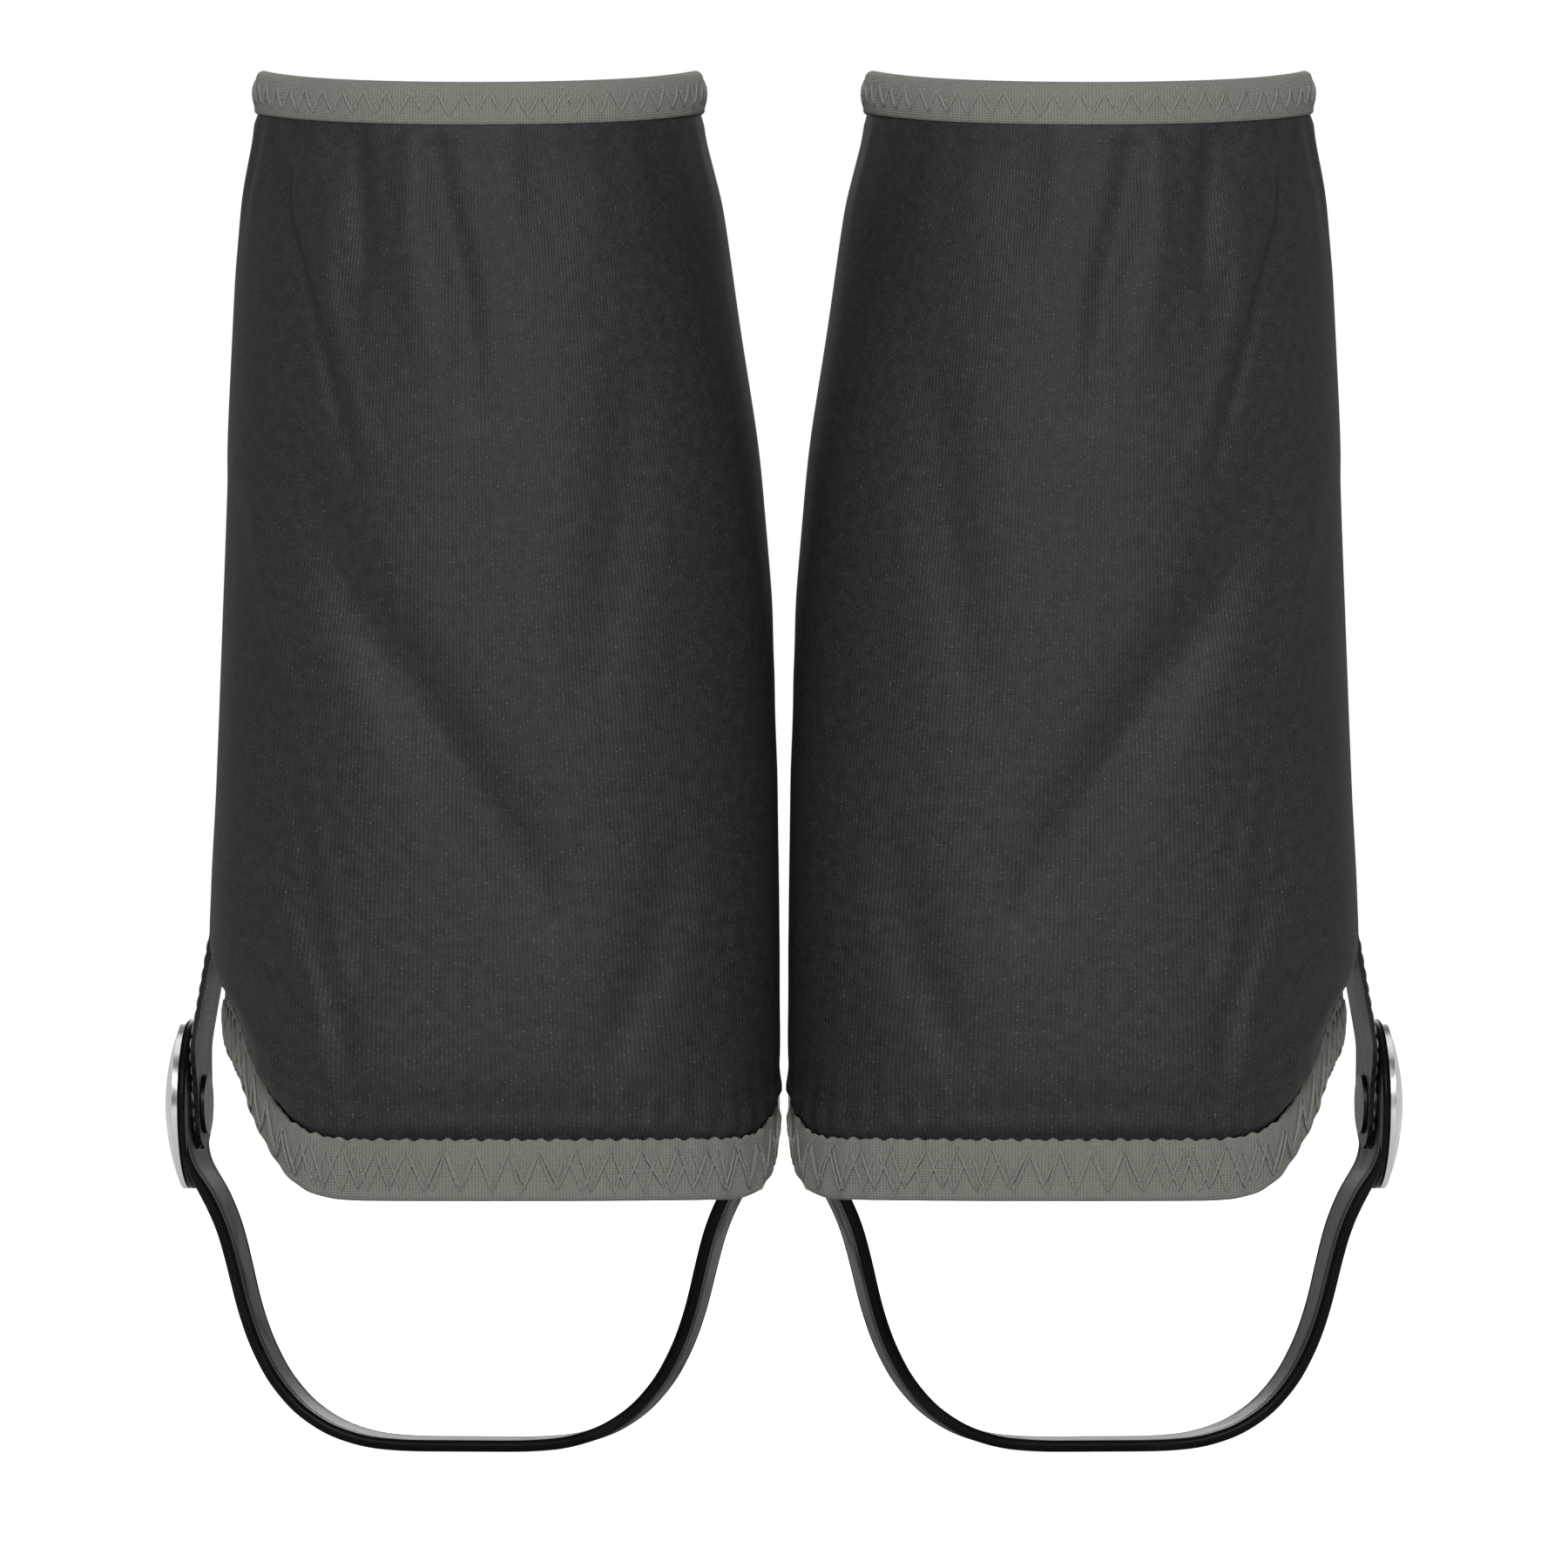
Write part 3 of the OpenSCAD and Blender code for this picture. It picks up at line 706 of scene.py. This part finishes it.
def make_top_band():
    out, leg = 1.8, 0.225
    section = (
        [(0.3, out), (2, out + 0.06), (4, out + 0.1), (6, out + 0.08)]
        + arc(8.4 - out / 2, out / 2, out / 2, 0, 180, 10)
        + [(6, 0), (4, 0), (2, 0), (0.2, 0), (0, leg), (0.2, 2 * leg), (3, 2 * leg), (6.8, 2 * leg),
           (7, out / 2), (6.8, out - 2 * leg), (3, out - 2 * leg), (0.2, out - 2 * leg), (0, out - leg)])
    return ring_piece("top_elastic", section, top_point, 440, looks["elastic"], "elastic", ["top_band"])


def zigzag(point_at, count, low, high, off, uneven=0.1):
    """A zigzag thread: it dives into the cloth at each turn and lies on it between."""
    rise = (-0.14, 0.16, 0.24, 0.16)
    turns = 2 * count
    turn_angles = (np.arange(turns) + rng.uniform(-uneven, uneven, turns)) * math.tau / turns
    turn_heights = np.where(np.arange(turns) % 2 == 0, low, high) + rng.uniform(-3, 3, turns) * uneven
    points, outs = [], []
    for k in range(turns):
        start, end = turn_angles[k], turn_angles[(k + 1) % turns]
        if end < start:
            end += math.tau
        for step, lift in enumerate(rise):
            part = step / len(rise)
            angle = start + (end - start) * part
            height = turn_heights[k] * (1 - part) + turn_heights[(k + 1) % turns] * part
            points.append(point_at(angle, height * MM, off + lift * MM))
            outs.append(outward(angle))
    return tube(points, outs, THREAD_R)


def joined(parts):
    """One list of points and faces from several."""
    points, faces = [], []
    for some_points, some_faces in parts:
        start = len(points)
        points += some_points
        faces += [tuple(i + start for i in face) for face in some_faces]
    return points, faces


def make_zigzags():
    top = zigzag(top_point, TOP_ZIGZAGS, 1.6, 6.3, 1.88 * MM)
    made_top = make_piece("top_zigzag", *top, looks["band_thread"], "gaiter", "band_thread",
                          ["top_band_zigzag"])
    first = zigzag(hem_point, HEM_ZIGZAGS, 1.7, 9.9, HEM_HALF + 0.16 * MM, 0.16)
    second = zigzag(hem_point, HEM_ZIGZAGS - 7, 2.3, 10.4, HEM_HALF + 0.34 * MM, 0.16)
    made_hem = make_piece("hem_zigzag", *joined([first, second]), looks["band_thread"], "gaiter",
                          "band_thread", ["hem_band_zigzag"])
    return made_top, made_hem


# ---- Front seam: a flat seam, with a zigzag and two lines of thread over it ----
def front_point(z, across, off):
    """A point of the sleeve's toe side at height z, across to the outer side."""
    column = sleeve_face[STATIONS // 2]
    row = np.interp(z, column[:, 2], np.arange(ROWS + 1))
    angle = math.pi - across / FRONT_R
    place = angle / math.tau * STATIONS
    low, part = int(place), place - int(place)
    level = min(int(row), ROWS - 1)
    rest = row - level
    near = sleeve_face[low, level] * (1 - rest) + sleeve_face[low, level + 1] * rest
    far = sleeve_face[low + 1, level] * (1 - rest) + sleeve_face[low + 1, level + 1] * rest
    point = near * (1 - part) + far * part
    return Vector(point) + outward(angle) * off


def make_front_seam():
    """The seam's fold of fabric, and its threads."""
    low = hem_top[STATIONS // 2] + 1.5 * MM
    high = top_edge[STATIONS // 2] - 0.5 * MM
    count = 150
    half, rise = 2.4 * MM, 0.45 * MM
    section = [(-half, -0.3 * MM), (-half * 0.9, rise * 0.6), (-half * 0.5, rise), (0, rise * 0.75),
               (half * 0.5, rise), (half * 0.9, rise * 0.6), (half, -0.3 * MM)]
    heights = [low + (high - low) * k / count for k in range(count + 1)]
    points = [front_point(z, across, off) for z in heights for across, off in section]
    faces = [tuple(reversed(f)) for f in grid_faces(count + 1, len(section), False, True)]
    made = make_piece("front_seam_fold", points, faces, looks["fabric"], "gaiter", "seam_thread",
                      ["front_seam"])
    threads = []
    forward = Vector((0, 1, 0))
    line_at = half * 0.75
    pitch = 2.6 * MM
    steps = int((high - low) / pitch)
    path = []
    for k in range(steps):
        across = line_at * (1 if k % 2 else -1)
        path.append(front_point(low + k * pitch, across, rise + 0.05 * MM))
    threads.append(tube(path, [forward] * len(path), SEAM_THREAD_R, closed=False))
    for sign in (-1, 1):
        path = []
        for k in range(2 * steps):
            lift = (0.12 if k % 2 else -0.1) * MM
            path.append(front_point(low + k * pitch / 2, sign * line_at, rise + lift))
        threads.append(tube(path, [forward] * len(path), 0.9 * SEAM_THREAD_R, closed=False))
    thread = make_piece("front_seam_thread", *joined(threads), looks["seam_thread"], "gaiter",
                        "seam_thread")
    return made, thread


sleeves, sleeve_width, sleeve_length = make_sleeve()
hem_bands = make_hem_band()
top_bands = make_top_band()
top_zigzags, hem_zigzags = make_zigzags()
seams, seam_threads = make_front_seam()


# ---- The two snaps' line: the right strap's hinge ----
strap_joint = next(j for j in frame["joints"] if j["name"] == "right_strap_swing")
SNAP_MIDDLE = Vector(strap_joint["pos_m"])
SNAP_AXIS = Vector(strap_joint["axis"]).normalized()
FORWARD = Vector((0, 0, 1)).cross(SNAP_AXIS)
UP = Vector((0, 0, 1))
PAD_R = 17 * MM              # the strap's round ends
PAD_T = 1.45 * MM
PAD_PLANE = 56.22 * MM       # distance of the middle of an end's thickness from SNAP_MIDDLE
STRAP_T = 2.4 * MM

# One half of the strap's middle line, in millimetres from the middle of the sole:
# distance along the snaps' line, height, half width.
STRAP_LINE = [
    (0, 1.2, 10), (6, 1.2, 10), (12, 1.2, 10), (20, 1.8, 10), (27.5, 4.1, 10), (34, 8.4, 10),
    (39.2, 14.6, 10), (42.9, 22, 10), (45.2, 29, 10), (46.6, 35, 10.3), (47.8, 40, 10.7),
    (49.2, 45, 11.3), (51.2, 49.5, 12), (53, 53, 12.6), (55, 56, 13.1), (56.1, 58.5, 13.4),
    (56.22, 61, 13.7), (56.22, 65, 14)]


def strap_sections():
    """Evenly spaced (distance, height, half width, half thickness) along the whole strap, in metres."""
    half = np.array(STRAP_LINE) * MM
    line = np.concatenate([half[:0:-1] * (-1, 1, 1), half])
    travelled = np.concatenate([[0], np.cumsum(np.hypot(*np.diff(line[:, :2], axis=0).T))])
    count = 190
    places = np.linspace(0, travelled[-1], count)
    even = np.stack([np.interp(places, travelled, line[:, k]) for k in range(3)], axis=1)
    span = 6
    weights = bell_weights(span, 3.5)
    padded = np.pad(even, ((span, span), (0, 0)), mode="reflect", reflect_type="odd")
    smooth = sum(w * padded[k:k + count] for k, w in enumerate(weights))
    from_end = np.minimum(places, travelled[-1] - places)
    thick = PAD_T / 2 + (STRAP_T - PAD_T) / 2 * ramp(6 * MM, 16 * MM, from_end)
    return np.column_stack([smooth, thick])


def strap_outline(half_w, half_t):
    """A strap's section with rounded edges and a shallow groove inside each edge on both faces."""
    edge = half_t * 0.9
    flat = half_w - edge
    groove = 0.22 * MM
    across = [(-1, 0), (-0.87, 0), (-0.83, groove), (-0.79, 0), (-0.4, 0), (0, 0),
              (0.4, 0), (0.79, 0), (0.83, groove), (0.87, 0)]
    face = [(v * flat, half_t - dip) for v, dip in across]
    turn = [(flat + edge * math.sin(a), half_t * math.cos(a)) for a in np.linspace(0, math.pi, 7)]
    upper = face + turn[:-1]
    return upper + [(-v, -n) for v, n in upper]


def lathe(profile, centre, axis, steps=96):
    """Closed profile of (radius, distance along axis), turned round axis through centre."""
    side = axis.cross(UP).normalized()
    points, rows = [], len(profile)
    for k in range(steps):
        a = k * math.tau / steps
        ray = side * math.cos(a) + axis.cross(side) * math.sin(a)
        points += [centre + ray * r + axis * u for r, u in profile]
    return points, [tuple(reversed(f)) for f in grid_faces(steps, rows, True, True)]


def make_strap():
    points = []
    sections = strap_sections()
    for k, (along, height, half_w, half_t) in enumerate(sections):
        before, after = sections[max(0, k - 1)], sections[min(len(sections) - 1, k + 1)]
        run = (SNAP_AXIS * (after[0] - before[0]) + UP * (after[1] - before[1])).normalized()
        face = FORWARD.cross(run)
        middle = SNAP_MIDDLE + SNAP_AXIS * along + UP * (height - SNAP_MIDDLE.z)
        points += [middle + FORWARD * v + face * n for v, n in strap_outline(half_w, half_t)]
    rows = len(points) // len(sections)
    faces = grid_faces(len(sections), rows, False, True)
    faces += [tuple(range(rows)), tuple(reversed(range(len(points) - rows, len(points))))]
    band = (points, [tuple(reversed(f)) for f in faces])
    half = PAD_T / 2
    hole = 5.9 * MM
    rim = [(PAD_R - half + half * math.cos(a), half * math.sin(a))
           for a in np.linspace(-math.pi / 2, math.pi / 2, 9)]
    profile = [(hole, -half), (PAD_R * 0.6, -half)] + rim + [(PAD_R * 0.6, half), (hole, half)]
    pads = [lathe(profile, SNAP_MIDDLE + SNAP_AXIS * PAD_PLANE * sign, SNAP_AXIS) for sign in (1, -1)]
    return make_piece("strap_band", *joined([band] + pads), looks["strap"], "strap", "strap",
                      ["instep_strap"])


# ---- Tabs: webbing tongues with stitches along their edges ----
TAB_T = 0.9 * MM
TAB_PLANE = 54.87 * MM       # distance of a tab's outer face from SNAP_MIDDLE
TAB_TOP, TAB_BEND, TAB_END_R = 36, 12, 9
TAB_FRONT, TAB_REAR = 8, -14


def tab_edges(w):
    """Rear and front edge of a tab at height w above the snap, in millimetres."""
    if w < 0:
        half = math.sqrt(max(0.04, TAB_END_R ** 2 - w * w))
        return -half, half
    spread = float(ramp(0, TAB_BEND, w))
    corner = 2
    inset = max(0, w - (TAB_TOP - corner))
    inset = corner - math.sqrt(max(0, corner ** 2 - inset ** 2))
    rear = -TAB_END_R + (TAB_REAR + TAB_END_R) * spread + inset
    front = TAB_END_R + (TAB_FRONT - TAB_END_R) * spread - inset
    return rear, front


def tab_point(sign, lean, v, w, off=0.0):
    """A point on a tab; sign is 1 for the outer one and -1 for the inner one."""
    past = (w - TAB_BEND + math.hypot(w - TAB_BEND, 1.4)) / 2
    u = TAB_PLANE - math.tan(lean) * past * MM + off
    return SNAP_MIDDLE + SNAP_AXIS * sign * u + FORWARD * v * MM + UP * w * MM


def make_tab(name, sign, lean):
    """A tab's webbing, a little thicker in the middle than at its edges."""
    heights = [-TAB_END_R * math.cos(a) for a in np.linspace(0, math.pi / 2, 10)]
    heights += list(np.linspace(1, TAB_TOP - 2, 26)) + [34.8, 35.4, 35.8, 36]
    columns = 14
    points = []
    for w in heights:
        rear, front = tab_edges(w)
        for k in range(columns + 1):
            v = rear + (front - rear) * k / columns
            pillow = 0.12 * MM * (1 - (2 * k / columns - 1) ** 6)
            points.append(tab_point(sign, lean, v, w, pillow))
    faces = grid_faces(len(heights), columns + 1, False)
    if sign > 0:
        faces = [tuple(reversed(f)) for f in faces]
    made = make_piece(f"{name}_webbing", points, faces, looks["tab"], "gaiter", "tab", [name])
    for piece in made.values():
        add_thickness(piece, TAB_T)
        round_edges(piece, 0.28 * MM)


def make_stitches(name, sign, lean):
    """Rows of short stitches inside a tab's two long edges and its top edge."""
    stitches = []
    inset, length, gap = 1.5, 1.9, 0.9
    steps = 5

    def sew(places):
        """One stitch through (v, w) places, arched over the webbing."""
        parts = np.linspace(0, 1, steps)
        ends = [tab_point(sign, lean, v, w, (0.16 + 0.14 * math.sin(math.pi * part)) * MM)
                for part, (v, w) in zip(parts, places)]
        stitches.append(tube(ends, [SNAP_AXIS * sign] * steps, STITCH_R, closed=False))

    for edge, inwards in ((0, inset), (1, -inset)):
        w = -5.5
        while w + length < TAB_TOP - inset:
            heights = [w + length * part for part in np.linspace(0, 1, steps)]
            sew([(tab_edges(height)[edge] + inwards, height) for height in heights])
            w += length + gap
    v = TAB_REAR + inset + 1
    while v + length < TAB_FRONT - inset:
        sew([(v + length * part, TAB_TOP - inset) for part in np.linspace(0, 1, steps)])
        v += length + gap
    make_piece(f"{name}_stitches", *joined(stitches), looks["tab_thread"], "gaiter", "tab_thread",
               [f"{name}_stitching"])


make_strap()
for name, sign, lean in (("outer_tab", 1, math.radians(10)), ("inner_tab", -1, 0)):
    make_tab(name, sign, lean)
    make_stitches(name, sign, lean)


# ---- Hard parts that keep their CAD shape: rounded edges and a material ----
def finish_cad(name, look, edge):
    """Gives both gaiters' CAD node a material and, where edge is above 0, edges rounded that much."""
    for side in SIDES:
        piece = nodes[f"{side}_{name}"]
        piece.data.materials.clear()
        piece.data.materials.append(looks[look])
        if edge:
            rounding = round_edges(piece, edge * MM, 32)
            rounding.harden_normals = True


for name, look, edge in (
        ("outer_stud", "backplate", 0.15), ("inner_stud", "backplate", 0.15),
        ("outer_stud_backplate", "backplate", 0.2), ("inner_stud_backplate", "backplate", 0.2),
        ("outer_socket", "snap_metal", 0.12), ("inner_socket", "snap_metal", 0.12),
        ("outer_cap", "cap_metal", 0.4), ("inner_cap", "cap_metal", 0.4),
        ("hook_loop", "webbing", 0.25),
        ("hook_loop_bartack", "tab_thread", 0.12), ("lace_hook", "hook_wire", 0)):
    finish_cad(name, look, edge)


# ---- Floor, light and camera ----
def make_floor():
    """A pale floor that the camera sees as white."""
    mesh = bpy.data.meshes.new("floor")
    reach = 12
    mesh.from_pydata([(-reach, -reach, 0), (reach, -reach, 0), (reach, reach, 0), (-reach, reach, 0)],
                     [], [(0, 1, 2, 3)])
    floor = bpy.data.objects.new("floor", mesh)
    floor.location.z = cad_box[0].z - 0.2 * MM
    bpy.context.scene.collection.objects.link(floor)
    look = Look("pale_floor", (0.8, 0.8, 0.8), Roughness=0.9)
    look.shader.inputs["Emission Color"].default_value = (1, 1, 1, 1)
    seen = look.add("ShaderNodeLightPath").outputs["Is Camera Ray"]
    look.tree.links.new(seen, look.shader.inputs["Emission Strength"])
    mesh.materials.append(look.material)


def add_light(name, place, size, power):
    """A soft rectangular lamp that faces the middle of the pair."""
    data = bpy.data.lights.new(name, "AREA")
    data.shape = "RECTANGLE"
    data.size, data.size_y = size
    data.energy = power
    light = bpy.data.objects.new(name, data)
    light.location = place
    middle = Vector((0, 0, 0.15))
    light.rotation_euler = (middle - Vector(place)).to_track_quat("-Z", "Y").to_euler()
    bpy.context.scene.collection.objects.link(light)


def make_light():
    """A world that the camera sees as white and that lights the pair faintly, and the lamps."""
    world = bpy.data.worlds.new("studio")
    bpy.context.scene.world = world
    world.use_nodes = True
    tree = world.node_tree
    seen = tree.nodes["Background"]
    seen.inputs["Color"].default_value = (1, 1, 1, 1)
    seen.inputs["Strength"].default_value = 1.0
    lit = tree.nodes.new("ShaderNodeBackground")
    lit.inputs["Color"].default_value = (1, 1, 1, 1)
    lit.inputs["Strength"].default_value = 0.12
    path = tree.nodes.new("ShaderNodeLightPath")
    mix = tree.nodes.new("ShaderNodeMixShader")
    tree.links.new(path.outputs["Is Camera Ray"], mix.inputs["Fac"])
    tree.links.new(lit.outputs[0], mix.inputs[1])
    tree.links.new(seen.outputs[0], mix.inputs[2])
    tree.links.new(mix.outputs[0], tree.nodes["World Output"].inputs["Surface"])
    add_light("key", (0, -1.65, 1.0), (0.7, 0.5), 28.5)
    for side, sign in SIDES.items():
        add_light(f"{side}_rim", (sign * 0.95, 1.9, 0.35), (1.1, 1.3), 2.2)
        add_light(f"{side}_fill", (sign * 1.7, 0.3, 0.6), (0.9, 0.9), 2.5)
    add_light("front_fill", (0, 1.9, 0.9), (1.2, 0.8), 15)
    add_light("top", (0, 0, 1.7), (1.2, 1.2), 4)


def make_camera():
    """Level with the middle of the picture, three metres behind the heels."""
    data = bpy.data.cameras.new("camera")
    data.sensor_width = 36
    data.lens = 355.2
    camera = bpy.data.objects.new("camera", data)
    camera.location = (0, -3.073, 0.133)
    camera.rotation_euler = (math.radians(90), 0, 0)
    bpy.context.scene.collection.objects.link(camera)
    bpy.context.scene.camera = camera


make_floor()
make_light()
make_camera()
bpy.context.scene.view_settings.view_transform = "Standard"
